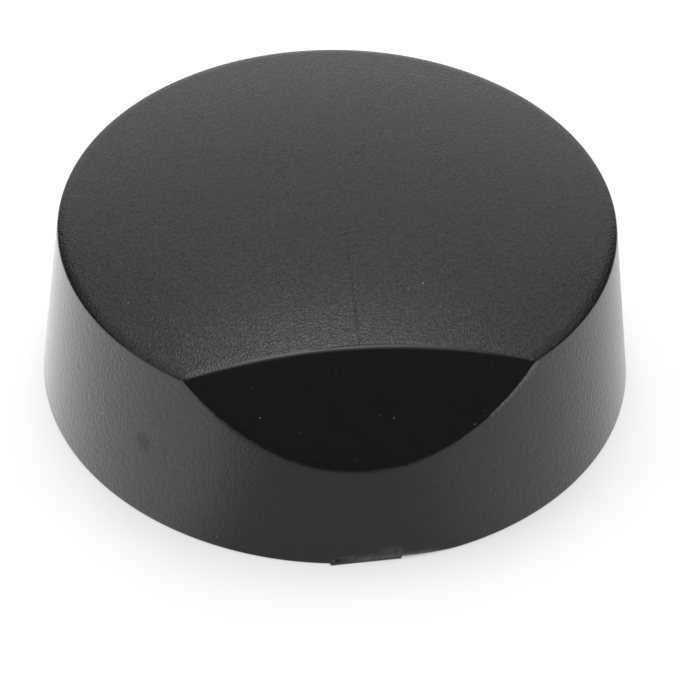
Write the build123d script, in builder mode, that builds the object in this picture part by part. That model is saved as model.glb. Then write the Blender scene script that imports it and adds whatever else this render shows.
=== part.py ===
from build123d import *
import os
from math import atan2, cos, degrees, radians, sin, tan

# Stove knob, in millimetres and degrees.
# It stands on its rim at z = 0, the shaft runs along Z, and the pointer facet faces -Y.

# Outer form
base_diameter = 40.0        # across the rim
crown_edge_height = 12.6    # from the rim to the edge between wall and crown
crown_rise = 2.4            # from that edge to the middle of the crown
wall_draft = 5.0            # lean of the wall towards the axis
edge_radius = 0.2           # on the crown's edge and around the facet
rim_radius = 0.15           # on the outer edge of the rim

# Pointer facet
facet_bite = 4.0            # from the crown's edge in to the facet's chord
facet_slope = 48.0          # fall of the facet from the horizontal

# Stub of the moulding gate, cut flat, on the rim under the facet
gate_width = 4.9
gate_height = 0.8
gate_stand = 0.2            # beyond the rim

# Hollow underside
wall_thickness = 2.2
crown_thickness = 2.2
facet_thickness = 2.2
inner_corner_radius = 1.2   # where the hollow's wall meets its ceiling

# Hub and the ribs that carry it
hub_diameter = 11.0
hub_setback = 1.0           # from the rim to the hub's mouth
rib_count = 4
rib_thickness = 1.2
rib_setback = 3.0           # from the rim to the ribs

# Valve shaft that the knob fits, and the socket for it
shaft_diameter = 6.0
shaft_across_flat = 4.6     # from the flat to the far side of the shaft
socket_clearance = 0.05     # all round the shaft
socket_depth = 10.5         # from the hub's mouth
lead_in_clearance = 0.25    # all round the shaft
lead_in_depth = 3.0         # from the hub's mouth
mouth_chamfer = 0.5

# Spring leaf, and the slot for it behind the socket's flat
leaf_thickness = 0.4
leaf_width = 4.0
leaf_foot = 1.2             # length of the flat foot at each end
leaf_crest = 1.0            # length of the flat crest
leaf_bend_radius = 0.8
leaf_bite = 0.15            # how far a shaft's flat pushes the crest back
leaf_side_gap = 0.1
leaf_end_gap = 0.1
slot_depth = 1.6            # behind the socket's flat
slot_ledge = 0.35           # step that keeps the leaf's lower foot in

# Outer form worked out
base_radius = base_diameter / 2
overall_height = crown_edge_height + crown_rise
crown_edge_radius = base_radius - crown_edge_height * tan(radians(wall_draft))
crown_radius = (crown_edge_radius**2 + crown_rise**2) / (2 * crown_rise)
crown_centre = overall_height - crown_radius
crown_start = degrees(atan2(crown_edge_height - crown_centre, crown_edge_radius))
facet_plane = Plane(
    origin=(0, facet_bite - crown_edge_radius, crown_edge_height),
    x_dir=(1, 0, 0),
    z_dir=(0, -sin(radians(facet_slope)), cos(radians(facet_slope))),
)

# Hub, socket and slot worked out
hub_mouth = Plane.XY.offset(hub_setback)
shaft_flat = shaft_across_flat - shaft_diameter / 2
socket_radius = shaft_diameter / 2 + socket_clearance
socket_flat = shaft_flat + socket_clearance
lead_in_radius = shaft_diameter / 2 + lead_in_clearance
slot_width = leaf_width + 2 * leaf_side_gap
slot_back = socket_flat + slot_depth

# Alignment of a rectangle that grows along +Y from where it is placed
along_y = (Align.CENTER, Align.MIN)


def hollow_radius(height):
    """Distance from the axis to the hollow's wall at a height."""
    slant_wall = wall_thickness / cos(radians(wall_draft))
    return base_radius - slant_wall - height * tan(radians(wall_draft))


# Hollow inside the knob, with the hub and ribs left standing in it
with BuildPart() as hollow:
    with BuildSketch(Plane.XZ) as hollow_profile:
        Polygon(
            (0, 0),
            (hollow_radius(0), 0),
            (hollow_radius(overall_height), overall_height),
            (0, overall_height),
            align=None,
        )
        with Locations((0, crown_centre)):
            Circle(crown_radius - crown_thickness, mode=Mode.INTERSECT)
        rim_points, ceiling_corner, ceiling_middle = hollow_profile.vertices().group_by(Axis.Y)
        fillet(ceiling_corner, inner_corner_radius)
    revolve(axis=Axis.Z)
    split(bisect_by=facet_plane.offset(-facet_thickness), keep=Keep.BOTTOM)
    with BuildSketch(hub_mouth):
        Circle(hub_diameter / 2)
    extrude(amount=overall_height, mode=Mode.SUBTRACT)
    with BuildSketch(Plane.XY.offset(rib_setback)):
        with PolarLocations(base_radius / 2, rib_count, start_angle=180 / rib_count):
            Rectangle(base_radius, rib_thickness)
    extrude(amount=overall_height, mode=Mode.SUBTRACT)

# Knob, moulded in one piece
with BuildPart() as knob_body:
    with BuildSketch(Plane.XZ):
        with BuildLine():
            Polyline((0, overall_height), (0, 0), (base_radius, 0), (crown_edge_radius, crown_edge_height))
            CenterArc((0, crown_centre), crown_radius, crown_start, 90 - crown_start)
        make_face()
    revolve(axis=Axis.Z)
    split(bisect_by=facet_plane, keep=Keep.BOTTOM)
    level_edges = knob_body.edges().filter_by(Plane.XY).sort_by(Axis.Z)
    facet_edges = knob_body.faces().filter_by(facet_plane).edges()
    fillet(facet_edges + level_edges[-1:], edge_radius)
    fillet(knob_body.edges().group_by(Axis.Z)[0], rim_radius)

    # Gate stub
    gate_root = base_radius - wall_thickness / 2
    gate_face = base_radius + gate_stand
    with BuildSketch(Plane.XY):
        with Locations((0, -gate_face)):
            Rectangle(gate_width, gate_face - gate_root, align=along_y)
    extrude(amount=gate_height)

    # Hollow
    add(hollow.part, mode=Mode.SUBTRACT)

    # Lead-in with a chamfered mouth, and the D-shaped socket above it
    with Locations(Plane(origin=hub_mouth.origin, x_dir=(1, 0, 0), z_dir=(0, 0, -1))):
        CounterSinkHole(lead_in_radius, lead_in_radius + mouth_chamfer, lead_in_depth, counter_sink_angle=90)
    with BuildSketch(hub_mouth):
        Circle(socket_radius)
        with Locations((0, socket_flat)):
            Rectangle(2 * socket_radius, 2 * socket_radius, align=along_y, mode=Mode.SUBTRACT)
    extrude(amount=socket_depth, mode=Mode.SUBTRACT)

    # Slot for the leaf, shallower along the lead-in
    with BuildSketch(hub_mouth):
        Rectangle(slot_width, slot_back - slot_ledge, align=along_y)
    extrude(amount=lead_in_depth, mode=Mode.SUBTRACT)
    with BuildSketch(hub_mouth.offset(lead_in_depth)):
        Rectangle(slot_width, slot_back, align=along_y)
    extrude(amount=socket_depth - lead_in_depth, mode=Mode.SUBTRACT)

# Spring leaf, bent from strip: its feet lie on the slot's back and its crest stands out of the socket's flat
with BuildPart() as shaft_clip:
    leaf_bottom = hub_setback + lead_in_depth + leaf_end_gap
    leaf_top = hub_setback + socket_depth - leaf_end_gap
    leaf_middle = (leaf_bottom + leaf_top) / 2
    crest_back = shaft_flat - leaf_bite + leaf_thickness
    with BuildSketch(Plane.YZ.offset(-leaf_width / 2)):
        with BuildLine():
            FilletPolyline(
                (slot_back, leaf_bottom),
                (slot_back, leaf_bottom + leaf_foot),
                (crest_back, leaf_middle - leaf_crest / 2),
                (crest_back, leaf_middle + leaf_crest / 2),
                (slot_back, leaf_top - leaf_foot),
                (slot_back, leaf_top),
                radius=leaf_bend_radius,
            )
            offset(amount=leaf_thickness, side=Side.LEFT)
        make_face()
    extrude(amount=leaf_width)

os.makedirs("parts", exist_ok=True)
for name, piece in (("knob_body", knob_body), ("shaft_clip", shaft_clip)):
    piece.part.label = name
    export_step(piece.part, f"parts/{name}.step")
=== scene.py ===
from math import acos, asin, ceil, cos, exp, hypot, pi, radians, sin, sqrt, tan

import bmesh
import bpy
from bpy.props import FloatProperty, FloatVectorProperty, PointerProperty
from bpy.types import NodeSocket, Operator, Panel, PropertyGroup
from mathutils import Matrix, Vector, noise


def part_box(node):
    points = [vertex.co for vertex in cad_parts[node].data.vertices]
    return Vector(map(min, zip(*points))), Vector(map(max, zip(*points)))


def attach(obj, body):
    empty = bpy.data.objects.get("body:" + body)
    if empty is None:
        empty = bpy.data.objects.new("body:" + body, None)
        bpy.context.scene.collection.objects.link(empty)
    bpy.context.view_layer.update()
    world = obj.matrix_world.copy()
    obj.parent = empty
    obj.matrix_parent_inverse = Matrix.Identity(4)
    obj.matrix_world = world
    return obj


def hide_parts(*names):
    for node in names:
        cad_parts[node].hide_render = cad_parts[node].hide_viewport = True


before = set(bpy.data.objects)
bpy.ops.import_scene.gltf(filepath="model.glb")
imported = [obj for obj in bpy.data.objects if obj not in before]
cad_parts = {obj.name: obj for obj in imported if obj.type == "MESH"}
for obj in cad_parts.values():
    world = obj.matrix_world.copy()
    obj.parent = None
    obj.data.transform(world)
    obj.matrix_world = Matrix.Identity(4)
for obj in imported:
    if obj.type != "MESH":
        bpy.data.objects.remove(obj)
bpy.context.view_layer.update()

bl_info = {
    "name": "Stove knob",
    "version": (1, 0, 0),
    "blender": (4, 5, 0),
    "location": "3D View > Sidebar > Knob",
    "description": "Builds a moulded stove knob with its spring leaf, and a small studio around it",
    "category": "Add Mesh",
}

MM = 0.001
body_low, body_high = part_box("knob_body")

# Material slots of the moulding, in order
CROWN, FACET, WALL, CORE = range(4)

# Rows of mesh down the section of a skin
CROWN_ROWS = 36
SHOULDER_ROWS = 8
UPPER_ROWS = 24
FACET_ROWS = 14
LOWER_ROWS = 8
WALL_ROWS = 14
FOOT_ROWS = 14
RIM_ROWS = 5
FOOT_HEIGHT = 1.4 * MM

# Rows of the facet's upper rounding that have the crown's finish, and of its lower one that have the facet's
CROWN_UPPER_ROWS = 4
FACET_LOWER_ROWS = 4

# Columns of mesh round the knob
COLUMN_STEP = radians(1.0)
FINE_STEP = radians(0.2)
TIP_SPAN = radians(2.4)
GATE_SPAN = radians(0.8)
TURNED_STEPS = 96
CARD_STEPS = 24

# The gate and its shaving lie within this azimuth from the facet
GATE_REACH = radians(30.0)

# Keeps rounding from adding a step to a span that is a whole number of steps
STEP_SLACK = 1e-6

# Near a tip the facet's roundings fade over this many of their widths
TIP_FADE = 8

# The facet's right foot turns crisp this many times sooner than its tip comes
CRISP_RATE = 1.4

# The witness line: how fast its ends fade, and its start and end as shares of the facet's upper rounding
GROOVE_FADE = 8
GROOVE_PLACE = (0.6, 0.9)

# Size of the ragged bits in the tips' flash
BURR_GRAIN = 0.12 * MM

# The ribs reach past the middle of the wall by this share of its thickness
RIB_REACH = 0.22

# Refractive index of the filled plastic, matched to its sheen at a glance and head on
PLASTIC_IOR = 1.42

# Roughness of each finish, and where it varies, of its smoothest and dullest places
CROWN_ROUGHNESS = (0.20, 0.26)
FACET_ROUGHNESS = (0.20, 0.28)
WALL_ROUGHNESS = 0.26
CORE_ROUGHNESS = 0.30
STEEL_ROUGHNESS = (0.24, 0.36)

# Most values of a noise texture lie between these
NOISE_LOW = 0.3
NOISE_HIGH = 0.7

# Real sizes that the patterns are scaled from
SHEEN_PATCH = 5 * MM
HAZE_PATCH = 2 * MM
SPECK_SPACING = 0.8 * MM
TEAR = 0.4 * MM
CORE_LINE = 0.3 * MM
CORE_LINE_DEPTH = 0.004 * MM
ROLLING_LINE = 0.06 * MM
TINT_CLOUD = 3 * MM

# Pits in the spark-eroded grain for each crater's width
PITS_PER_CRATER = 1.2

# A speck of fine dust starts and is full at these distances from its middle, in spacings
SPECK_EDGE = (0.09, 0.02)

# Share of the mirroring that is left in the flow line and under the finger mark
FLOW_LINE_MIRROR = 0.7
SMUDGE_MIRROR = 0.72

# Depth of the flow line in depths of the grain, and the least share of pale torn plastic in the gate's scar
FLOW_LINE_DEPTH = 0.4
LEAST_TORN = 0.3

# Share of dust or scuffed plastic in the colour of each kind of mark
CROWN_DUST_SHARE = 0.4
FACET_DUST_SHARE = 0.35
FACET_RUB_SHARE = 0.10
FINE_DUST_SHARE = 0.06

# Where the painted highlight along the right end of the facet's lower edge starts, as a share of the way to
# the tip
EDGE_HIGHLIGHT_START = 0.70

# Its reach in millimetres, there and at the tip, and the number of places along it
EDGE_HIGHLIGHT_REACH = (0.30, 0.66)
EDGE_HIGHLIGHT_PLACES = 10

# Where the light table's glow rises on each side, as sines of the bearing from the front
TABLE_LEFT_RISE = (-0.40, -0.72)
TABLE_RIGHT_RISE = (0.15, 0.60)

# Half the floor's width, in metres
FLOOR_SIZE = 3.0

# Marks on the moulding, each a centre and three radii in millimetres
FLOW_LINE = [((0.12, -10.1, 14.2), (0.10, 7.2, 3.0))]
CROWN_DUST = [
    ((-14.65, -7.53, 13.18), (0.08, 0.10, 0.10)),
    ((4.83, -8.56, 14.36), (0.08, 0.12, 0.10)),
    ((3.79, -9.01, 14.37), (0.06, 0.06, 0.10)),
]
WALL_SMUDGE = [((-14.17, -13.36, 5.98), (0.8, 0.8, 0.9))]
WALL_DUST = [
    ((-16.63, -10.16, 5.83), (0.10, 0.10, 0.10)),
    ((15.47, -12.01, 4.77), (0.07, 0.07, 0.08)),
    ((-9.60, -17.46, 0.87), (0.06, 0.06, 0.06)),
]
GATE_SCAR = [
    ((1.9, -20.0, 0.40), (1.5, 0.6, 1.05)),
    ((0.5, -20.0, 0.28), (3.2, 0.6, 0.62)),
    ((3.6, -19.6, 0.20), (2.4, 0.6, 0.50)),
]
FACET_DUST = [
    ((-6.71, -16.71, 10.58), (0.10, 0.08, 0.08)),
    ((2.06, -17.05, 10.21), (0.10, 0.08, 0.08)),
    ((7.36, -17.53, 9.68), (0.15, 0.06, 0.06)),
]
FACET_RUBS = [
    ((-7.16, -15.38, 12.07), (0.08, 0.08, 0.08)),
    ((-4.17, -17.46, 9.76), (0.09, 0.09, 0.09)),
    ((-1.57, -14.87, 12.63), (0.05, 0.12, 0.13)),
    ((-0.89, -14.28, 13.29), (0.06, 0.11, 0.12)),
    ((-0.22, -16.46, 10.86), (0.07, 0.06, 0.06)),
    ((-0.62, -18.75, 8.32), (0.05, 0.16, 0.18)),
    ((1.17, -16.89, 10.39), (0.10, 0.08, 0.08)),
    ((8.17, -14.50, 13.04), (0.10, 0.05, 0.05)),
    ((8.05, -16.95, 10.32), (0.18, 0.05, 0.05)),
    ((6.52, -17.85, 9.32), (0.08, 0.06, 0.06)),
]

# Two points closer than this are one; an edge is sharp above one angle and straight below the other
WELD = 0.002 * MM
FINE_WELD = WELD / 10
SHARP_ANGLE = radians(34.0)
STRAIGHT_ANGLE = radians(0.5)


def linear(hex_colour):
    """A linear RGB colour from an sRGB hex value such as "1c1c1c"."""
    levels = [int(hex_colour[i:i + 2], 16) / 255 for i in (0, 2, 4)]
    return tuple(v / 12.92 if v <= 0.04045 else ((v + 0.055) / 1.055) ** 2.4 for v in levels)


def length(name, description, default):
    """A length that a user can change, in metres."""
    return FloatProperty(name=name, description=description, default=default, unit="LENGTH", precision=5)


def angle(name, description, degrees):
    """An angle that a user can change, given in degrees."""
    return FloatProperty(name=name, description=description, default=radians(degrees), subtype="ANGLE")


def colour(name, description, hex_colour):
    """A colour that a user can change, given as an sRGB hex value."""
    return FloatVectorProperty(
        name=name, description=description, default=linear(hex_colour), subtype="COLOR", min=0, max=1
    )


def level(name, description, default):
    """A plain number that a user can change."""
    return FloatProperty(name=name, description=description, default=default, min=0)


class KnobForm(PropertyGroup):
    """Sizes of the knob's outer form and its hollow."""

    base_radius: length("Base radius", "Radius of the rim", (body_high.x - body_low.x) / 2)
    height: length("Height", "From the rim to the middle of the crown", body_high.z - body_low.z)
    crown_rise: length("Crown rise", "From the crown's edge to its middle", 2.4 * MM)
    wall_draft: angle("Wall draft", "Lean of the wall towards the axis", 5.0)
    facet_bite: length("Facet bite", "From the crown's edge in to the facet's chord", 4.0 * MM)
    facet_slope: angle("Facet slope", "Fall of the facet from the horizontal", 48.0)
    thickness: length("Thickness", "Thickness of wall, crown and facet", 2.2 * MM)
    crown_edge: length("Crown edge", "Half width of the rounding on the crown's edge", 0.14 * MM)
    shoulder: length("Shoulder", "Half width of the gentle bend inside the crown's edge", 0.40 * MM)
    shoulder_turn: angle("Shoulder turn", "How far the crown bends down there", 13.0)
    facet_top: length("Facet top", "Half width of the rounding on the facet's upper edge", 0.28 * MM)
    facet_foot: length("Facet foot", "Half width of the rounding on its lower edge, on the left", 0.55 * MM)
    facet_crisp: length("Facet right foot", "The same on the right, where the edge is crisp", 0.16 * MM)
    groove_depth: length("Witness groove", "Depth of the line that the mould's insert left", 0.028 * MM)
    groove_width: length("Witness width", "Half width of that line", 0.05 * MM)
    groove_start: angle("Witness start", "Azimuth from the facet where that line leaves the facet", -15.0)
    groove_end: angle("Witness end", "Azimuth from the facet where that line reaches the crown", 20.0)
    burr: length("Tip burr", "Height of the ragged flash on the facet's tips", 0.03 * MM)
    burr_reach: length("Tip burr reach", "How far from a tip the flash reaches", 0.6 * MM)
    rim_edge: length("Rim edge", "Half width of the rounding on the rim", 0.15 * MM)
    inner_corner: length("Inner corner", "Half width of the rounding inside the crown's edge", 1.0 * MM)
    inner_edge: length("Inner edge", "Half width of the rounding on the hollow's other edges", 0.15 * MM)


class KnobHub(PropertyGroup):
    """Sizes of the hub, its ribs, the shaft's socket and the slot for the spring leaf."""

    hub_radius: length("Hub radius", "Outer radius of the hub", 5.5 * MM)
    hub_setback: length("Hub setback", "From the rim to the hub's mouth", 1.0 * MM)
    rib_thickness: length("Rib thickness", "Thickness of the ribs that carry the hub", 1.2 * MM)
    rib_setback: length("Rib setback", "From the rim to the ribs", 3.0 * MM)
    socket_radius: length("Socket radius", "Radius of the D-shaped socket", 3.05 * MM)
    socket_flat: length("Socket flat", "From the axis to the socket's flat", 1.65 * MM)
    socket_depth: length("Socket depth", "From the hub's mouth to the socket's end", 10.5 * MM)
    lead_in_radius: length("Lead-in radius", "Radius of the round lead-in", 3.25 * MM)
    lead_in_depth: length("Lead-in depth", "From the hub's mouth to the lead-in's end", 3.0 * MM)
    mouth_chamfer: length("Mouth chamfer", "Chamfer of the lead-in's mouth", 0.5 * MM)
    slot_width: length("Slot width", "Width of the slot for the spring leaf", 4.2 * MM)
    slot_depth: length("Slot depth", "Depth of the slot behind the socket's flat", 1.6 * MM)
    slot_ledge: length("Slot ledge", "Step that keeps the leaf's lower foot in", 0.35 * MM)


class KnobGate(PropertyGroup):
    """Sizes of the place on the rim where the moulding gate was cut off, a little out of square."""

    left: length("Gate left", "Left end of the gate's stub, across the knob", -2.28 * MM)
    right: length("Gate right", "Right end of the gate's stub, across the knob", 2.52 * MM)
    proud: length("Gate stand", "How far the stub's left end stands in front of the rim", 0.09 * MM)
    turn: angle("Gate turn", "Turn of the cut towards the rim", 3.6)
    height: length("Gate height", "Height of the stub", 0.30 * MM)
    blend: length("Gate blend", "Height over which the stub runs into the wall", 0.15 * MM)
    end_width: length("Gate end", "Width over which the stub ends", 0.14 * MM)
    shave: length("Shave", "Depth of the shaving beside the stub, at the rim", 0.27 * MM)
    shave_length: length("Shave length", "Length of that shaving along the rim", 4.0 * MM)
    shave_slope: angle("Shave slope", "Lean of that shaving from the upright", 30.0)


class KnobFinish(PropertyGroup):
    """Colours and grain of the moulding and of the spring leaf."""

    plastic: colour("Plastic", "Black of the dyed plastic", "121212")
    # This grey is also painted along the right end of the facet's lower edge as a painted highlight
    whitened_and_painted_highlight: colour("Whitened plastic", "Grey of plastic that was torn or scuffed", "5a5a5a")
    dust: colour("Dust", "Grey of dust", "8a8a8a")
    steel: colour("Spring steel", "Grey of the rolled strip", "a9a7a2")
    steel_tint: colour("Temper tint", "Straw tint that tempering leaves in places", "9c8f78")
    grain: length("Grain", "Width of one crater of the spark-eroded grain", 0.095 * MM)
    grain_depth: length("Grain depth", "Depth of the spark-eroded grain", 0.022 * MM)
    drawn_grain: length("Drawn grain", "Width of one crater on the wall", 0.20 * MM)
    drawn_depth: length("Drawn depth", "Depth of the grain on the wall", 0.026 * MM)


class KnobStudio(PropertyGroup):
    """Camera, floor and lamps."""

    azimuth: angle("Camera azimuth", "Camera's turn round the knob, towards +X", -6.32)
    elevation: angle("Camera elevation", "Camera's height above the horizon", 41.01)
    roll: angle("Camera roll", "Camera's turn about its line of sight", 0.976)
    distance: length("Camera distance", "From the camera to the knob's middle", 415.4 * MM)
    focus_height: length("Aim height", "Height on the axis that the camera is placed around", 6.28 * MM)
    aim_right: length("Aim right", "How far right of that point the camera looks", 0.264 * MM)
    aim_up: length("Aim up", "How far above that point the camera looks", -3.08 * MM)
    lens: FloatProperty(name="Lens", description="Focal length of the camera", default=323.5, unit="CAMERA")
    paper: colour("White sheet", "Colour of the light table's sheet", "f3f3f3")
    front_paper: colour("Grey paper", "Colour of the card in front", "5a5a5a")
    side_paper: colour("Black paper", "Colour of the cards on both sides", "303030")
    floor_glow: level("Floor glow", "Share of plain white in the floor as the camera sees it", 0.5)
    table_share: level("Table share", "Share of the table's glow in what gloss mirrors", 0.85)
    table_left: level("Table left", "Glow of the table on the left", 2.0)
    table_right: level("Table right", "Glow of the table on the right", 1.34)
    table_front: level("Table front", "Glow of the table in front", 0.92)
    ambient: level("Ambient", "Level of the white tent round the knob", 1.9)
    top_level: level("Top light", "Brightness of the softbox overhead", 4.0)
    sky_level: level("Wide light", "Brightness of the wide soft light behind", 0.22)
    front_radius: length("Front card radius", "From the axis to the card in front", 0.26)
    front_height: length("Front card height", "Height of the card in front", 0.50)
    side_radius: length("Side card radius", "From the axis to the cards on both sides", 0.55)
    side_height: length("Side card height", "Height of the cards on both sides", 0.55)


def smooth_step(x):
    """Zero below zero, one above one, and a soft rise between."""
    x = min(1.0, max(0.0, x))
    return x * x * (3 - 2 * x)


def soft_ramp(x, half_width):
    """Zero below zero and x above it, with the bend spread over a half width on each side."""
    if x <= -half_width:
        return 0.0
    if x >= half_width:
        return x
    return (x + half_width) ** 2 / (4 * half_width)


def steps(start, end, count):
    """Evenly spaced values from start, without the end."""
    return [start + (end - start) * i / count for i in range(count)]


class Skin:
    """One skin of the shell: a crown, a facet and a wall, at an inset from the outer form.

    At each azimuth from the facet its section lies in a half plane, as (radius, height). Only the
    outside has the shoulder, the crisp right foot and the witness line.
    """

    def __init__(self, form, inset, crown_edge, facet_top, facet_foot, rim_edge, outside=False):
        self.form = form
        self.outside = outside
        edge_height = form.height - form.crown_rise
        self.lean = tan(form.wall_draft)
        outer_edge = form.base_radius - edge_height * self.lean
        outer_crown = (outer_edge ** 2 + form.crown_rise ** 2) / (2 * form.crown_rise)
        self.centre = form.height - outer_crown
        self.crown = outer_crown - inset
        self.foot = form.base_radius - inset / cos(form.wall_draft)
        self.facet_sin = sin(form.facet_slope)
        self.facet_cos = cos(form.facet_slope)
        chord = outer_edge - form.facet_bite
        self.facet_reach = chord * self.facet_sin + edge_height * self.facet_cos - inset
        self.roundings = (crown_edge, facet_top, facet_foot, rim_edge)
        self.foot_change = form.facet_crisp - facet_foot if outside else 0.0
        self.shoulder = form.shoulder if outside else 0.0
        self.shoulder_turn = form.shoulder_turn if outside else 0.0
        self.corner = self.crown_meets_wall()
        tip = (self.facet_reach - self.facet_cos * self.corner.y) / (self.facet_sin * self.corner.x)
        self.tip_azimuth = acos(tip)

    def crown_meets_wall(self):
        """The corner between crown and wall."""
        a = 1 + self.lean ** 2
        b = self.foot * self.lean + self.centre
        c = self.foot ** 2 + self.centre ** 2 - self.crown ** 2
        height = (b + sqrt(b * b - a * c)) / a
        return Vector((self.foot - height * self.lean, height))

    def facet_ends(self, azimuth):
        """Where the facet starts on the crown and where it ends on the wall; one point beside the facet."""
        if abs(azimuth) >= self.tip_azimuth:
            return self.corner, self.corner
        across = self.facet_sin * cos(azimuth)
        fall = across / self.facet_cos
        rise = self.facet_reach / self.facet_cos - self.centre
        a = 1 + fall * fall
        b = fall * rise
        radius = (b - sqrt(b * b - a * (rise * rise - self.crown ** 2))) / a
        top = Vector((radius, self.centre + rise - fall * radius))
        height = (self.facet_reach - across * self.foot) / (self.facet_cos - across * self.lean)
        return top, Vector((self.foot - height * self.lean, height))

    def section(self, azimuth):
        """Points of the section from the middle of the crown to the rim's foot."""
        crown_edge, facet_top, facet_foot, rim_edge = self.roundings
        top, foot = self.facet_ends(azimuth)
        rim = Vector((self.foot, 0))
        facet_length = (foot - top).length
        wall_length = (rim - foot).length
        share = smooth_step(facet_length / (TIP_FADE * max(facet_top, facet_foot)))
        first = crown_edge + (facet_top - crown_edge) * share
        facet_foot += self.foot_change * smooth_step(azimuth / self.tip_azimuth * CRISP_RATE)
        second = crown_edge + (facet_foot - crown_edge) * share

        # Directions of travel along crown, facet, wall, foot and shoulder
        turn = asin(top.x / self.crown)
        along_crown = Vector((cos(turn), -sin(turn)))
        along_wall = (rim - self.corner).normalized()
        along_facet = (foot - top).normalized() if facet_length > WELD else along_wall
        along_foot = Vector((-1, 0))
        bend = self.shoulder_turn * (1 - share)
        along_shoulder = Vector((cos(turn + bend), -sin(turn + bend)))
        drop = (along_shoulder - along_crown) * self.shoulder

        # Distances along the section, from the facet's upper edge
        facet_start = min(first, facet_length / 2)
        facet_end = max(facet_length - second, facet_length / 2)
        rim_at = facet_length + wall_length
        stations = (
            steps(-self.crown * turn, -2 * self.shoulder - first, CROWN_ROWS)
            + steps(-2 * self.shoulder - first, -first, SHOULDER_ROWS)
            + steps(-first, facet_start, UPPER_ROWS)
            + steps(facet_start, facet_end, FACET_ROWS)
            + steps(facet_end, facet_length + second, LOWER_ROWS)
            + steps(facet_length + second, rim_at - FOOT_HEIGHT, WALL_ROWS)
            + steps(rim_at - FOOT_HEIGHT, rim_at - rim_edge, FOOT_ROWS)
            + steps(rim_at - rim_edge, rim_at + rim_edge, RIM_ROWS)
            + [rim_at + rim_edge]
        )
        past_edge = (along_crown + along_facet).normalized()
        outward = Vector((-past_edge.y, past_edge.x))
        groove_depth, groove_at = self.witness_line(azimuth, first)
        points = []
        for s in stations:
            if s < 0:
                at = turn + s / self.crown
                point = Vector((self.crown * sin(at), self.centre + self.crown * cos(at)))
            else:
                point = top + along_crown * s
            point += (along_shoulder - along_crown) * soft_ramp(s + self.shoulder, self.shoulder)
            point -= drop * min(1.0, max(0.0, s - facet_length) / wall_length)
            point += (along_facet - along_shoulder) * soft_ramp(s, first)
            point += (along_wall - along_facet) * soft_ramp(s - facet_length, second)
            point += (along_foot - along_wall) * soft_ramp(s - rim_at, rim_edge)
            if groove_depth:
                point -= outward * groove_depth * exp(-((s - groove_at) / self.form.groove_width) ** 2)
            points.append(point)
        return points

    def witness_line(self, azimuth, rounding):
        """Depth of the insert's witness line, and its place along the section."""
        if not self.outside:
            return 0.0, 0.0
        start, end = self.form.groove_start, self.form.groove_end
        along = (azimuth - start) / (end - start)
        fade = smooth_step(along * GROOVE_FADE) * smooth_step((1 - along) * GROOVE_FADE)
        first, last = GROOVE_PLACE
        return self.form.groove_depth * fade, -rounding * (first + (last - first) * along)


def column_azimuths(skins, gate_ends):
    """Azimuths of the mesh columns: one on each facet tip, and finer steps there and at the gate's ends."""
    tips = [side * skin.tip_azimuth for skin in skins for side in (-1, 1)]
    fine = [(tip - TIP_SPAN, tip + TIP_SPAN) for tip in tips]
    fine += [(end - GATE_SPAN, end + GATE_SPAN) for end in gate_ends]
    stops = sorted([-pi, pi] + tips + [edge for span in fine for edge in span])
    azimuths = []
    for start, end in zip(stops, stops[1:]):
        middle = (start + end) / 2
        in_detail = any(low < middle < high for low, high in fine)
        step = FINE_STEP if in_detail else COLUMN_STEP
        azimuths += steps(start, end, max(1, ceil((end - start) / step - STEP_SLACK)))
    return azimuths


def row_finishes(beside_facet):
    """Material slot of each row of faces, from the crown's middle down the outside and up the inside."""
    face = CROWN if beside_facet else FACET
    face_low = WALL if beside_facet else FACET
    outside = (
        [CROWN] * (CROWN_ROWS + SHOULDER_ROWS + CROWN_UPPER_ROWS)
        + [face] * (UPPER_ROWS - CROWN_UPPER_ROWS + FACET_ROWS)
        + [face_low] * FACET_LOWER_ROWS
        + [WALL] * (LOWER_ROWS - FACET_LOWER_ROWS + WALL_ROWS + FOOT_ROWS + RIM_ROWS)
    )
    return outside + [CORE] * (len(outside) + 1)


def gate_offset(form, gate, x, z):
    """How far the cut gate stands out of the rim, or is shaved into it, at a place across and a height."""
    start = smooth_step((x - gate.left) / gate.end_width + 0.5)
    end = smooth_step((gate.right - x) / gate.end_width + 0.5)
    cut = form.base_radius + gate.proud - tan(gate.turn) * (x - gate.left)
    stand = hypot(x, cut) - form.base_radius
    stub = stand * start * end * (1 - smooth_step((z - gate.height) / gate.blend))
    depth = gate.shave * (1 - (x - gate.right) / gate.shave_length)
    shaving = max(0.0, min(depth, gate.shave) - z * tan(gate.shave_slope)) * (1 - end)
    return stub - shaving


def tip_burr(form, tips, point):
    """Height of the ragged flash at a point near one of the facet's tips."""
    near = max(1 - (point - tip).length / form.burr_reach for tip in tips)
    return form.burr * smooth_step(near) * noise.noise(point / BURR_GRAIN)


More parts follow.
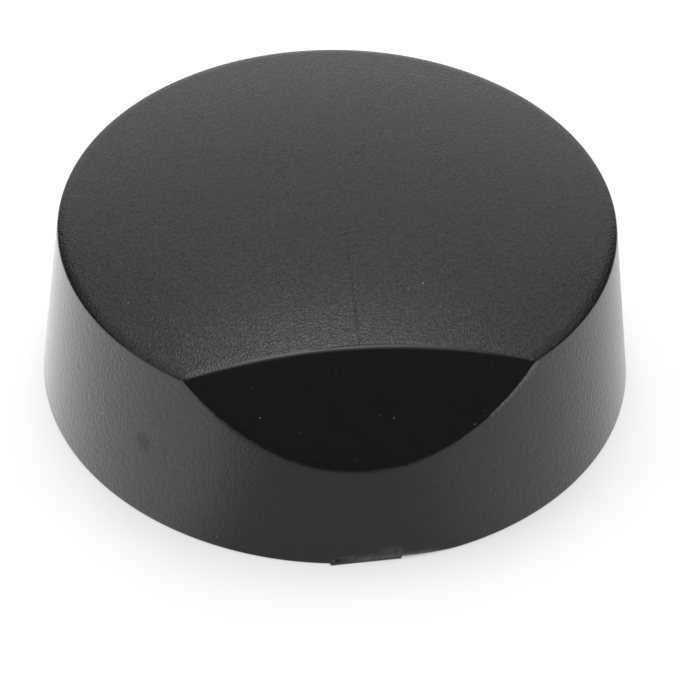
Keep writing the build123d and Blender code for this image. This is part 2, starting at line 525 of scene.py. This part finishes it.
def shell_mesh(form, gate):
    """The hollow shell as a closed mesh."""
    outer = Skin(form, 0.0, form.crown_edge, form.facet_top, form.facet_foot, form.rim_edge, outside=True)
    inner = Skin(form, form.thickness, form.inner_corner, form.inner_edge, form.inner_edge, form.inner_edge)
    azimuths = column_azimuths((outer, inner), [asin(x / form.base_radius) for x in (gate.left, gate.right)])
    tips = [
        Vector((outer.corner.x * sin(a), -outer.corner.x * cos(a), outer.corner.y))
        for a in (-outer.tip_azimuth, outer.tip_azimuth)
    ]
    mesh = bmesh.new()
    columns = []
    for azimuth in azimuths:
        ahead = Vector((sin(azimuth), -cos(azimuth), 0))
        column = []
        for p in outer.section(azimuth):
            point = ahead * p.x + Vector((0, 0, p.y))
            if abs(azimuth) < GATE_REACH:
                point += ahead * gate_offset(form, gate, point.x, point.z)
            point += (ahead + Vector((0, 0, 1))) * tip_burr(form, tips, point)
            column.append(mesh.verts.new(point))
        for p in reversed(inner.section(azimuth)):
            column.append(mesh.verts.new(ahead * p.x + Vector((0, 0, p.y))))
        columns.append(column)
    following = azimuths[1:] + [azimuths[0] + 2 * pi]
    for i, (start, end) in enumerate(zip(azimuths, following)):
        beside_facet = abs((start + end) / 2) > outer.tip_azimuth
        left = columns[i]
        right = columns[(i + 1) % len(columns)]
        for row, finish in enumerate(row_finishes(beside_facet)):
            face = mesh.faces.new((left[row], left[row + 1], right[row + 1], right[row]))
            face.material_index = finish
    bmesh.ops.remove_doubles(mesh, verts=mesh.verts, dist=WELD)
    return mesh


def turned_mesh(profile):
    """A closed solid of revolution about Z from (radius, height) points that start and end on the axis."""
    mesh = bmesh.new()
    verts = [mesh.verts.new((radius, 0, height)) for radius, height in profile]
    edges = [mesh.edges.new(pair) for pair in zip(verts, verts[1:])]
    bmesh.ops.spin(
        mesh, geom=verts + edges, axis=(0, 0, 1), cent=(0, 0, 0), angle=2 * pi, steps=TURNED_STEPS
    )
    bmesh.ops.remove_doubles(mesh, verts=mesh.verts, dist=WELD)
    return mesh


def prism_mesh(outline, low, high, placement=None):
    """A closed prism over an outline of (x, y) points, between two heights, moved by a placement."""
    mesh = bmesh.new()
    floor = [mesh.verts.new((x, y, low)) for x, y in outline]
    roof = [mesh.verts.new((x, y, high)) for x, y in outline]
    mesh.faces.new(floor)
    mesh.faces.new(roof)
    for i in range(len(outline)):
        j = (i + 1) % len(outline)
        mesh.faces.new((floor[i], floor[j], roof[j], roof[i]))
    if placement:
        bmesh.ops.transform(mesh, matrix=placement, verts=mesh.verts)
    return mesh


def rectangle(x_low, x_high, y_low, y_high):
    """The corners of a rectangle."""
    return [(x_low, y_low), (x_high, y_low), (x_high, y_high), (x_low, y_high)]


def to_object(mesh, name, collection):
    """A new object from a bmesh, with its faces turned outward and shaded smooth."""
    bmesh.ops.recalc_face_normals(mesh, faces=mesh.faces)
    for face in mesh.faces:
        face.smooth = True
    data = bpy.data.meshes.new(name)
    mesh.to_mesh(data)
    mesh.free()
    made = bpy.data.objects.new(name, data)
    collection.objects.link(made)
    return made


def hub_solids(form, hub):
    """The hub and the two pairs of ribs, as meshes that reach into the shell."""
    middle = Skin(form, form.thickness / 2, *[form.inner_edge] * 4)
    reach = middle.corner.x + form.thickness * RIB_REACH
    turn = asin(reach / middle.crown)
    arch = [
        (middle.crown * sin(a), middle.centre + middle.crown * cos(a))
        for a in steps(turn, -turn, CROWN_ROWS) + [-turn]
    ]
    rib = [(-reach, hub.rib_setback), (reach, hub.rib_setback)] + arch
    half = hub.rib_thickness / 2
    solids = [
        turned_mesh([
            (0, hub.hub_setback),
            (hub.hub_radius, hub.hub_setback),
            (hub.hub_radius, form.height - form.thickness / 2),
            (0, form.height - form.thickness / 2),
        ])
    ]
    for diagonal in (radians(45), radians(135)):
        upright = Matrix.Rotation(diagonal, 4, "Z") @ Matrix.Rotation(pi / 2, 4, "X")
        solids.append(prism_mesh(rib, -half, half, upright))
    return solids


def socket_cutters(hub):
    """The lead-in, the D-shaped socket and the two steps of the leaf's slot, as meshes to cut away."""
    mouth = hub.hub_setback
    below = mouth - hub.mouth_chamfer
    lead_end = mouth + hub.lead_in_depth
    socket_end = mouth + hub.socket_depth
    wide = hub.lead_in_radius + 2 * hub.mouth_chamfer
    lead_in = turned_mesh([
        (0, below),
        (wide, below),
        (hub.lead_in_radius, mouth + hub.mouth_chamfer),
        (hub.lead_in_radius, lead_end),
        (0, lead_end),
    ])
    flat_turn = asin(hub.socket_flat / hub.socket_radius)
    arc = steps(pi - flat_turn, 2 * pi + flat_turn, TURNED_STEPS) + [2 * pi + flat_turn]
    d_shape = [(hub.socket_radius * cos(a), hub.socket_radius * sin(a)) for a in arc]
    half = hub.slot_width / 2
    back = hub.socket_flat + hub.slot_depth
    return [
        lead_in,
        prism_mesh(d_shape, below, socket_end),
        prism_mesh(rectangle(-half, half, 0, back - hub.slot_ledge), below, lead_end),
        prism_mesh(rectangle(-half, half, 0, back), lead_end, socket_end),
    ]


def combine(target, solids, operation, finish, name, collection):
    """Join solids to an object, or cut them from it, and give their faces a finish."""
    tools = []
    for i, solid in enumerate(solids):
        for face in solid.faces:
            face.material_index = finish
        tool = to_object(solid, f"{name}_{i}", collection)
        for material in target.data.materials:
            tool.data.materials.append(material)
        tools.append(tool)
        step = target.modifiers.new(tool.name, "BOOLEAN")
        step.operation = operation
        step.object = tool
        step.solver = "EXACT"
    return tools


def apply_modifiers(target, tools):
    """Replace an object's mesh by its mesh with all modifiers applied, and delete their tools."""
    graph = bpy.context.evaluated_depsgraph_get()
    finished = bpy.data.meshes.new_from_object(target.evaluated_get(graph))
    target.modifiers.clear()
    target.data = finished
    for tool in tools:
        bpy.data.objects.remove(tool)


def finish_mesh(data):
    """Weld the mesh, take out points along straight edges, and keep a crease where it turns sharply."""
    mesh = bmesh.new()
    mesh.from_mesh(data)
    bmesh.ops.remove_doubles(mesh, verts=mesh.verts, dist=FINE_WELD)
    between = [v for v in mesh.verts if len(v.link_edges) == 2 and v.calc_edge_angle(pi) < STRAIGHT_ANGLE]
    bmesh.ops.dissolve_verts(mesh, verts=between)
    for face in mesh.faces:
        face.smooth = True
    for edge in mesh.edges:
        edge.smooth = edge.calc_face_angle(0.0) < SHARP_ANGLE
    mesh.to_mesh(data)
    mesh.free()


def add_node(tree, kind, inputs=None, **settings):
    """Add a node with its settings, and set or link its inputs."""
    made = tree.nodes.new(kind)
    for name, value in settings.items():
        setattr(made, name, value)
    for socket, value in (inputs or {}).items():
        if isinstance(value, NodeSocket):
            tree.links.new(value, made.inputs[socket])
        else:
            made.inputs[socket].default_value = value
    return made


def new_material(name):
    """An empty node material, its tree and the object's coordinates in metres."""
    material = bpy.data.materials.new(name)
    material.use_nodes = True
    tree = material.node_tree
    tree.nodes.clear()
    coords = add_node(tree, "ShaderNodeTexCoord").outputs["Object"]
    return material, tree, coords


def opaque(rgb):
    """A linear colour with full alpha."""
    return (*rgb, 1.0)


def spots(tree, coords, places, edge):
    """One inside any of some ellipsoids, zero outside them, with a soft edge that is a share of their radii.

    Each place is a centre and three radii, in millimetres.
    """
    most = None
    for centre, radii in places:
        placed = add_node(
            tree,
            "ShaderNodeMapping",
            {
                "Vector": coords,
                "Location": [-c / r for c, r in zip(centre, radii)],
                "Scale": [1 / (r * MM) for r in radii],
            },
        )
        away = add_node(tree, "ShaderNodeVectorMath", {0: placed.outputs["Vector"]}, operation="LENGTH")
        inside = add_node(
            tree,
            "ShaderNodeMapRange",
            {"Value": away.outputs["Value"], "From Min": 1.0, "From Max": 1.0 - edge},
        ).outputs["Result"]
        if most:
            either = add_node(tree, "ShaderNodeMath", {0: most, 1: inside}, operation="MAXIMUM")
            inside = either.outputs["Value"]
        most = inside
    return most


def painted_edge_highlight(form):
    """Places of a painted highlight along the right end of the facet's lower edge, wider towards its tip, in
    millimetres.
    """
    skin = Skin(form, 0.0, form.crown_edge, form.facet_top, form.facet_foot, form.rim_edge)
    places = []
    for share in steps(EDGE_HIGHLIGHT_START, 1.0, EDGE_HIGHLIGHT_PLACES):
        azimuth = share * skin.tip_azimuth
        foot = skin.facet_ends(azimuth)[1] / MM
        narrow, wide = EDGE_HIGHLIGHT_REACH
        reach = narrow + (wide - narrow) * (share - EDGE_HIGHLIGHT_START) / (1 - EDGE_HIGHLIGHT_START)
        places.append(((foot.x * sin(azimuth), -foot.x * cos(azimuth), foot.y), (reach, reach, reach)))
    return places


def patchy(tree, vector, width, detail, low, high):
    """A value that drifts between two others in patches of a width."""
    patches = add_node(tree, "ShaderNodeTexNoise", {"Vector": vector, "Scale": 1 / width, "Detail": detail})
    drift = add_node(
        tree,
        "ShaderNodeMapRange",
        {
            "Value": patches.outputs["Fac"],
            "From Min": NOISE_LOW,
            "From Max": NOISE_HIGH,
            "To Min": low,
            "To Max": high,
        },
    )
    return drift.outputs["Result"]


def eroded_grain(tree, coords, width, stretch, contrast):
    """The craters that spark erosion leaves: their height, and how well the plastic mirrors in them."""
    stretched = add_node(tree, "ShaderNodeMapping", {"Vector": coords, "Scale": stretch})
    craters = add_node(
        tree,
        "ShaderNodeTexNoise",
        {"Vector": stretched.outputs["Vector"], "Scale": 1 / width, "Detail": 0.5, "Roughness": 0.5},
    )
    pits = add_node(
        tree,
        "ShaderNodeTexNoise",
        {
            "Vector": stretched.outputs["Vector"],
            "Scale": PITS_PER_CRATER / width,
            "Detail": 0.0,
            "Distortion": 0.5,
        },
    )
    mirror = add_node(
        tree,
        "ShaderNodeMapRange",
        {
            "Value": pits.outputs["Fac"],
            "From Min": NOISE_LOW,
            "From Max": NOISE_HIGH,
            "To Min": 0.5 - contrast,
            "To Max": 0.5 + contrast,
        },
    )
    return craters.outputs["Fac"], mirror.outputs["Result"]


def spark_eroded_polyamide(finish):
    """Black glass-filled polyamide, moulded against spark-eroded steel: the crown.

    The eye gets a dull sheen that fine craters break into specks, and one dark flow line where
    the melt met again.
    """
    material, tree, coords = new_material("polyamide_spark_eroded")
    craters, mirror = eroded_grain(tree, coords, finish.grain, stretch=(1, 0.55, 1), contrast=0.18)
    flow_line = spots(tree, coords, FLOW_LINE, edge=0.9)
    height = add_node(
        tree, "ShaderNodeMath", {0: flow_line, 1: -FLOW_LINE_DEPTH, 2: craters}, operation="MULTIPLY_ADD"
    )
    bump = add_node(
        tree,
        "ShaderNodeBump",
        {"Height": height.outputs["Value"], "Strength": 1.0, "Distance": finish.grain_depth},
    )
    sheen = patchy(tree, coords, SHEEN_PATCH, 2.0, *CROWN_ROUGHNESS)
    dust = add_node(
        tree,
        "ShaderNodeMath",
        {0: spots(tree, coords, CROWN_DUST, edge=0.6), 1: CROWN_DUST_SHARE},
        operation="MULTIPLY",
    )
    dusty = add_node(
        tree,
        "ShaderNodeMix",
        {"Factor": dust.outputs["Value"], "A": opaque(finish.plastic), "B": opaque(finish.dust)},
        data_type="RGBA",
    )
    in_line = add_node(
        tree, "ShaderNodeMapRange", {"Value": flow_line, "To Min": 1.0, "To Max": FLOW_LINE_MIRROR}
    )
    mirrored = add_node(
        tree, "ShaderNodeMath", {0: mirror, 1: in_line.outputs["Result"]}, operation="MULTIPLY"
    )
    shader = add_node(
        tree,
        "ShaderNodeBsdfPrincipled",
        {
            "Base Color": dusty.outputs["Result"],
            "Roughness": sheen,
            "IOR": PLASTIC_IOR,
            "Specular IOR Level": mirrored.outputs["Value"],
            "Normal": bump.outputs["Normal"],
        },
    )
    add_node(tree, "ShaderNodeOutputMaterial", {"Surface": shader.outputs["BSDF"]})
    return material


def drawn_polyamide(finish, form):
    """The same plastic on the wall, where the draw out of the mould dragged the craters out along the axis.

    The eye gets a satin sheen with short upright streaks, a dull finger mark, plastic turned pale where the
    gate was cut off, and a painted highlight in that pale grey along the right end of the facet's lower edge.
    """
    material, tree, coords = new_material("polyamide_drawn")
    craters, mirror = eroded_grain(tree, coords, finish.drawn_grain, stretch=(1, 1, 0.6), contrast=0.03)
    bump = add_node(
        tree, "ShaderNodeBump", {"Height": craters, "Strength": 1.0, "Distance": finish.drawn_depth}
    )
    smudge = spots(tree, coords, WALL_SMUDGE, edge=0.5)
    under_mark = add_node(
        tree, "ShaderNodeMapRange", {"Value": smudge, "To Min": 1.0, "To Max": SMUDGE_MIRROR}
    )
    mirrored = add_node(
        tree, "ShaderNodeMath", {0: mirror, 1: under_mark.outputs["Result"]}, operation="MULTIPLY"
    )
    torn = patchy(tree, coords, TEAR, 3.0, LEAST_TORN, 1.0)
    scar = add_node(
        tree, "ShaderNodeMath", {0: torn, 1: spots(tree, coords, GATE_SCAR, edge=0.8)}, operation="MULTIPLY"
    )
    # The gate's torn scar, together with a painted highlight in the same pale grey along the right end of the
    # facet's lower edge
    scar_and_painted_highlight = add_node(
        tree,
        "ShaderNodeMath",
        {0: spots(tree, coords, painted_edge_highlight(form), edge=0.9), 1: scar.outputs["Value"]},
        operation="MAXIMUM",
    )
    # Mixes that pale grey into the black, for the gate's scar and for the painted highlight on the facet's
    # edge
    whitened_and_painted_highlight = add_node(
        tree,
        "ShaderNodeMix",
        {"Factor": scar_and_painted_highlight.outputs["Value"], "A": opaque(finish.plastic), "B": opaque(finish.whitened_and_painted_highlight)},
        data_type="RGBA",
    )
    dusty = add_node(
        tree,
        "ShaderNodeMix",
        {
            "Factor": spots(tree, coords, WALL_DUST, edge=0.6),
            "A": whitened_and_painted_highlight.outputs["Result"],
            "B": opaque(finish.dust),
        },
        data_type="RGBA",
    )
    shader = add_node(
        tree,
        "ShaderNodeBsdfPrincipled",
        {
            "Base Color": dusty.outputs["Result"],
            "Roughness": WALL_ROUGHNESS,
            "IOR": PLASTIC_IOR,
            "Specular IOR Level": mirrored.outputs["Value"],
            "Normal": bump.outputs["Normal"],
        },
    )
    add_node(tree, "ShaderNodeOutputMaterial", {"Surface": shader.outputs["BSDF"]})
    return material


def polished_polyamide(finish):
    """The same plastic against a polished insert: a black gloss with a little haze, dust and a few rubs."""
    material, tree, coords = new_material("polyamide_polished")
    haze = patchy(tree, coords, HAZE_PATCH, 3.0, *FACET_ROUGHNESS)
    specks = add_node(
        tree, "ShaderNodeTexVoronoi", {"Vector": coords, "Scale": 1 / SPECK_SPACING, "Randomness": 1.0}
    )
    dust = add_node(
        tree,
        "ShaderNodeMapRange",
        {
            "Value": specks.outputs["Distance"],
            "From Min": SPECK_EDGE[0],
            "From Max": SPECK_EDGE[1],
            "To Max": FINE_DUST_SHARE,
        },
    )
    rubs = add_node(
        tree,
        "ShaderNodeMath",
        {0: spots(tree, coords, FACET_RUBS, edge=0.8), 1: FACET_RUB_SHARE, 2: dust.outputs["Result"]},
        operation="MULTIPLY_ADD",
    )
    marks = add_node(
        tree,
        "ShaderNodeMath",
        {0: spots(tree, coords, FACET_DUST, edge=0.8), 1: FACET_DUST_SHARE, 2: rubs.outputs["Value"]},
        operation="MULTIPLY_ADD",
    )
    dusty = add_node(
        tree,
        "ShaderNodeMix",
        {"Factor": marks.outputs["Value"], "A": opaque(finish.plastic), "B": opaque(finish.dust)},
        data_type="RGBA",
    )
    shader = add_node(
        tree,
        "ShaderNodeBsdfPrincipled",
        {"Base Color": dusty.outputs["Result"], "Roughness": haze, "IOR": PLASTIC_IOR},
    )
    add_node(tree, "ShaderNodeOutputMaterial", {"Surface": shader.outputs["BSDF"]})
    return material


def core_side_polyamide(finish):
    """The same plastic against the ground steel core: a satin black with fine lines along the draw.

    The lines are drawn coarser than real grinding lines, so that they show.
    """
    material, tree, coords = new_material("polyamide_ground_core")
    stretched = add_node(tree, "ShaderNodeMapping", {"Vector": coords, "Scale": (1, 1, 0.05)})
    lines = add_node(
        tree,
        "ShaderNodeTexNoise",
        {"Vector": stretched.outputs["Vector"], "Scale": 1 / CORE_LINE, "Detail": 2.0},
    )
    bump = add_node(
        tree, "ShaderNodeBump", {"Height": lines.outputs["Fac"], "Strength": 1.0, "Distance": CORE_LINE_DEPTH}
    )
    shader = add_node(
        tree,
        "ShaderNodeBsdfPrincipled",
        {
            "Base Color": opaque(finish.plastic),
            "Roughness": CORE_ROUGHNESS,
            "IOR": PLASTIC_IOR,
            "Normal": bump.outputs["Normal"],
        },
    )
    add_node(tree, "ShaderNodeOutputMaterial", {"Surface": shader.outputs["BSDF"]})
    return material


def rolled_spring_steel(finish):
    """Cold-rolled spring steel: a grey gloss with fine rolling lines and a trace of temper tint."""
    material, tree, coords = new_material("spring_steel_cold_rolled")
    stretched = add_node(tree, "ShaderNodeMapping", {"Vector": coords, "Scale": (1, 0.1, 0.1)})
    lines = patchy(tree, stretched.outputs["Vector"], ROLLING_LINE, 2.0, *STEEL_ROUGHNESS)
    clouds = add_node(tree, "ShaderNodeTexNoise", {"Vector": coords, "Scale": 1 / TINT_CLOUD, "Detail": 2.0})
    tint = add_node(
        tree,
        "ShaderNodeMix",
        {"Factor": clouds.outputs["Fac"], "A": opaque(finish.steel), "B": opaque(finish.steel_tint)},
        data_type="RGBA",
    )
    shader = add_node(
        tree,
        "ShaderNodeBsdfPrincipled",
        {"Base Color": tint.outputs["Result"], "Metallic": 1.0, "Roughness": lines},
    )
    add_node(tree, "ShaderNodeOutputMaterial", {"Surface": shader.outputs["BSDF"]})
    return material


def matt_paper(name, paint):
    """Matt paper, for the cards."""
    material, tree, _ = new_material(name)
    shader = add_node(tree, "ShaderNodeBsdfDiffuse", {"Color": opaque(paint)})
    add_node(tree, "ShaderNodeOutputMaterial", {"Surface": shader.outputs["BSDF"]})
    return material


def seen_rays(tree):
    """One for rays from the camera, and for those that gloss or glass turns, and zero for the rest."""
    path = add_node(tree, "ShaderNodeLightPath")
    direct = add_node(
        tree,
        "ShaderNodeMath",
        {0: path.outputs["Is Camera Ray"], 1: path.outputs["Is Glossy Ray"]},
        operation="MAXIMUM",
    )
    return add_node(
        tree,
        "ShaderNodeMath",
        {0: direct.outputs["Value"], 1: path.outputs["Is Transmission Ray"]},
        operation="MAXIMUM",
    ).outputs["Value"]


def light_table(studio):
    """White acrylic sheet of a light table, for the floor.

    To the camera it is matt white with a soft shadow. The gloss of the knob mirrors the glow
    from below: bright on the left, fainter on the right and faintest in front.
    """
    material, tree, coords = new_material("acrylic_light_table")
    outward = add_node(tree, "ShaderNodeVectorMath", {0: coords}, operation="NORMALIZE")
    across = add_node(tree, "ShaderNodeSeparateXYZ", {"Vector": outward.outputs["Vector"]}).outputs["X"]
    left = add_node(
        tree,
        "ShaderNodeMapRange",
        {
            "Value": across,
            "From Min": TABLE_LEFT_RISE[0],
            "From Max": TABLE_LEFT_RISE[1],
            "To Min": studio.table_front,
            "To Max": studio.table_left,
        },
        interpolation_type="SMOOTHSTEP",
    )
    right = add_node(
        tree,
        "ShaderNodeMapRange",
        {
            "Value": across,
            "From Min": TABLE_RIGHT_RISE[0],
            "From Max": TABLE_RIGHT_RISE[1],
            "To Max": studio.table_right - studio.table_front,
        },
        interpolation_type="SMOOTHSTEP",
    )
    glow = add_node(
        tree, "ShaderNodeMath", {0: left.outputs["Result"], 1: right.outputs["Result"]}, operation="ADD"
    )
    path = add_node(tree, "ShaderNodeLightPath")
    to_camera = add_node(
        tree, "ShaderNodeMapRange", {"Value": path.outputs["Is Camera Ray"], "To Max": studio.floor_glow}
    )
    to_gloss = add_node(
        tree, "ShaderNodeMapRange", {"Value": path.outputs["Is Glossy Ray"], "To Max": studio.table_share}
    )
    matt = add_node(tree, "ShaderNodeBsdfDiffuse", {"Color": opaque(studio.paper)})
    white = add_node(tree, "ShaderNodeEmission", {"Color": (1, 1, 1, 1), "Strength": 1.0})
    below = add_node(tree, "ShaderNodeEmission", {"Color": (1, 1, 1, 1), "Strength": glow.outputs["Value"]})
    seen = add_node(
        tree,
        "ShaderNodeMixShader",
        {"Fac": to_camera.outputs["Result"], 1: matt.outputs["BSDF"], 2: white.outputs["Emission"]},
    )
    mirrored = add_node(
        tree,
        "ShaderNodeMixShader",
        {"Fac": to_gloss.outputs["Result"], 1: seen.outputs["Shader"], 2: below.outputs["Emission"]},
    )
    add_node(tree, "ShaderNodeOutputMaterial", {"Surface": mirrored.outputs["Shader"]})
    return material


class KNOB_OT_moulding(Operator):
    """Build the moulded knob: shell, hub, ribs, socket and gate stub in one mesh"""

    bl_idname = "knob.moulding"
    bl_label = "Moulding"

    def execute(self, context):
        scene = context.scene
        form, hub, gate, finish = scene.knob_form, scene.knob_hub, scene.knob_gate, scene.knob_finish
        collection = scene.collection
        moulding = to_object(shell_mesh(form, gate), "moulded_knob", collection)
        for material in (
            spark_eroded_polyamide(finish),
            polished_polyamide(finish),
            drawn_polyamide(finish, form),
            core_side_polyamide(finish),
        ):
            moulding.data.materials.append(material)
        tools = combine(moulding, hub_solids(form, hub), "UNION", CORE, "hub", collection)
        tools += combine(moulding, socket_cutters(hub), "DIFFERENCE", CORE, "socket", collection)
        apply_modifiers(moulding, tools)
        finish_mesh(moulding.data)
        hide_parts("knob_body")
        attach(moulding, "root")
        return {"FINISHED"}


class KNOB_OT_spring_leaf(Operator):
    """Give the spring leaf in the socket its steel"""

    bl_idname = "knob.spring_leaf"
    bl_label = "Spring leaf"

    def execute(self, context):
        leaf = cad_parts["shaft_clip"]
        leaf.data.materials.clear()
        leaf.data.materials.append(rolled_spring_steel(context.scene.knob_finish))
        return {"FINISHED"}


def area_lamp(collection, name, bearing, rise, distance, width, height, brightness):
    """A softbox turned to the knob, of a size and a brightness; bearing 0 is +Y and 90 is +X."""
    flat = distance * cos(radians(rise))
    place = Vector((
        flat * sin(radians(bearing)), flat * cos(radians(bearing)), distance * sin(radians(rise))
    ))
    data = bpy.data.lights.new(name, "AREA")
    data.shape = "RECTANGLE"
    data.size = width
    data.size_y = height
    data.energy = brightness * pi * width * height
    lamp = bpy.data.objects.new(name, data)
    lamp.location = place
    lamp.rotation_euler = (-place).to_track_quat("-Z", "Y").to_euler()
    lamp.visible_camera = False
    collection.objects.link(lamp)


def curved_card(collection, name, start, end, radius, height):
    """A card that stands round the axis from one bearing to another; bearing 0 is +Y and 90 is +X."""
    mesh = bmesh.new()
    bearings = steps(radians(start), radians(end), CARD_STEPS) + [radians(end)]
    foot = [mesh.verts.new((radius * sin(a), radius * cos(a), 0)) for a in bearings]
    head = [mesh.verts.new((radius * sin(a), radius * cos(a), height)) for a in bearings]
    for i in range(CARD_STEPS):
        mesh.faces.new((foot[i], foot[i + 1], head[i + 1], head[i]))
    card = to_object(mesh, name, collection)
    card.visible_camera = False
    return card


def place_camera(scene, studio):
    """The camera at the photograph's viewing angle."""
    back = Vector((
        sin(studio.azimuth) * cos(studio.elevation),
        -cos(studio.azimuth) * cos(studio.elevation),
        sin(studio.elevation),
    ))
    right = Vector((cos(studio.azimuth), sin(studio.azimuth), 0))
    up = back.cross(right)
    turned_right = right * cos(studio.roll) + up * sin(studio.roll)
    turned_up = up * cos(studio.roll) - right * sin(studio.roll)
    middle = Vector((0, 0, studio.focus_height))
    place = middle + back * studio.distance
    aim = middle + turned_right * studio.aim_right + turned_up * studio.aim_up
    sight = (place - aim).normalized()
    side = turned_up.cross(sight).normalized()
    top = sight.cross(side)
    data = bpy.data.cameras.new("camera")
    data.lens = studio.lens
    data.clip_start = 0.01
    camera = bpy.data.objects.new("camera", data)
    camera.matrix_world = Matrix.Translation(place) @ Matrix((side, top, sight)).transposed().to_4x4()
    scene.collection.objects.link(camera)
    scene.camera = camera


class KNOB_OT_studio(Operator):
    """Set the floor, the cards, the lamps, the white surround and the camera"""

    bl_idname = "knob.studio"
    bl_label = "Studio"

    def execute(self, context):
        scene = context.scene
        studio = scene.knob_studio
        floor_mesh = bmesh.new()
        bmesh.ops.create_grid(floor_mesh, x_segments=1, y_segments=1, size=FLOOR_SIZE)
        floor = to_object(floor_mesh, "floor", scene.collection)
        floor.data.materials.append(light_table(studio))
        grey = matt_paper("paper_grey", studio.front_paper)
        black = matt_paper("paper_black", studio.side_paper)
        for name, start, end, radius, height, paper in (
            ("front_card", 118, 242, studio.front_radius, studio.front_height, grey),
            ("left_card", -85, -30, studio.side_radius, studio.side_height, black),
            ("right_card", 42, 103, studio.side_radius, studio.side_height, black),
        ):
            card = curved_card(scene.collection, name, start, end, radius, height)
            card.data.materials.append(paper)
        for name, bearing, rise, distance, width, height, brightness in (
            ("top_softbox", 4, 82, 0.60, 0.18, 0.40, studio.top_level),
            ("wide_softbox", 5, 36, 1.00, 1.20, 0.90, studio.sky_level),
        ):
            area_lamp(scene.collection, name, bearing, rise, distance, width, height, brightness)
        world = bpy.data.worlds.new("white_surround")
        scene.world = world
        world.use_nodes = True
        tree = world.node_tree
        tree.nodes.clear()
        strength = add_node(
            tree, "ShaderNodeMapRange", {"Value": seen_rays(tree), "To Min": studio.ambient, "To Max": 1.0}
        )
        surround = add_node(
            tree,
            "ShaderNodeBackground",
            {"Color": (1, 1, 1, 1), "Strength": strength.outputs["Result"]},
        )
        add_node(tree, "ShaderNodeOutputWorld", {"Surface": surround.outputs["Background"]})
        place_camera(scene, studio)
        scene.view_settings.view_transform = "Standard"
        return {"FINISHED"}


class KNOB_PT_panel(Panel):
    """Lists the knob's pieces and sizes"""

    bl_idname = "KNOB_PT_panel"
    bl_label = "Stove knob"
    bl_space_type = "VIEW_3D"
    bl_region_type = "UI"
    bl_category = "Knob"

    def draw(self, context):
        for operator in OPERATORS:
            self.layout.operator(operator.bl_idname)
        for name, group in GROUPS.items():
            box = self.layout.box()
            for prop in group.__annotations__:
                box.prop(getattr(context.scene, name), prop)


GROUPS = {
    "knob_form": KnobForm,
    "knob_hub": KnobHub,
    "knob_gate": KnobGate,
    "knob_finish": KnobFinish,
    "knob_studio": KnobStudio,
}
OPERATORS = (KNOB_OT_moulding, KNOB_OT_spring_leaf, KNOB_OT_studio)


def register():
    """Register the classes and give the scene their properties."""
    for cls in (*GROUPS.values(), *OPERATORS, KNOB_PT_panel):
        bpy.utils.register_class(cls)
    for name, group in GROUPS.items():
        setattr(bpy.types.Scene, name, PointerProperty(type=group))


def unregister():
    """Take all of it back."""
    for name in GROUPS:
        delattr(bpy.types.Scene, name)
    for cls in (KNOB_PT_panel, *OPERATORS, *GROUPS.values()):
        bpy.utils.unregister_class(cls)


def main():
    """Build the knob and its studio."""
    register()
    bpy.ops.knob.moulding()
    bpy.ops.knob.spring_leaf()
    bpy.ops.knob.studio()


if __name__ == "__main__":
    main()
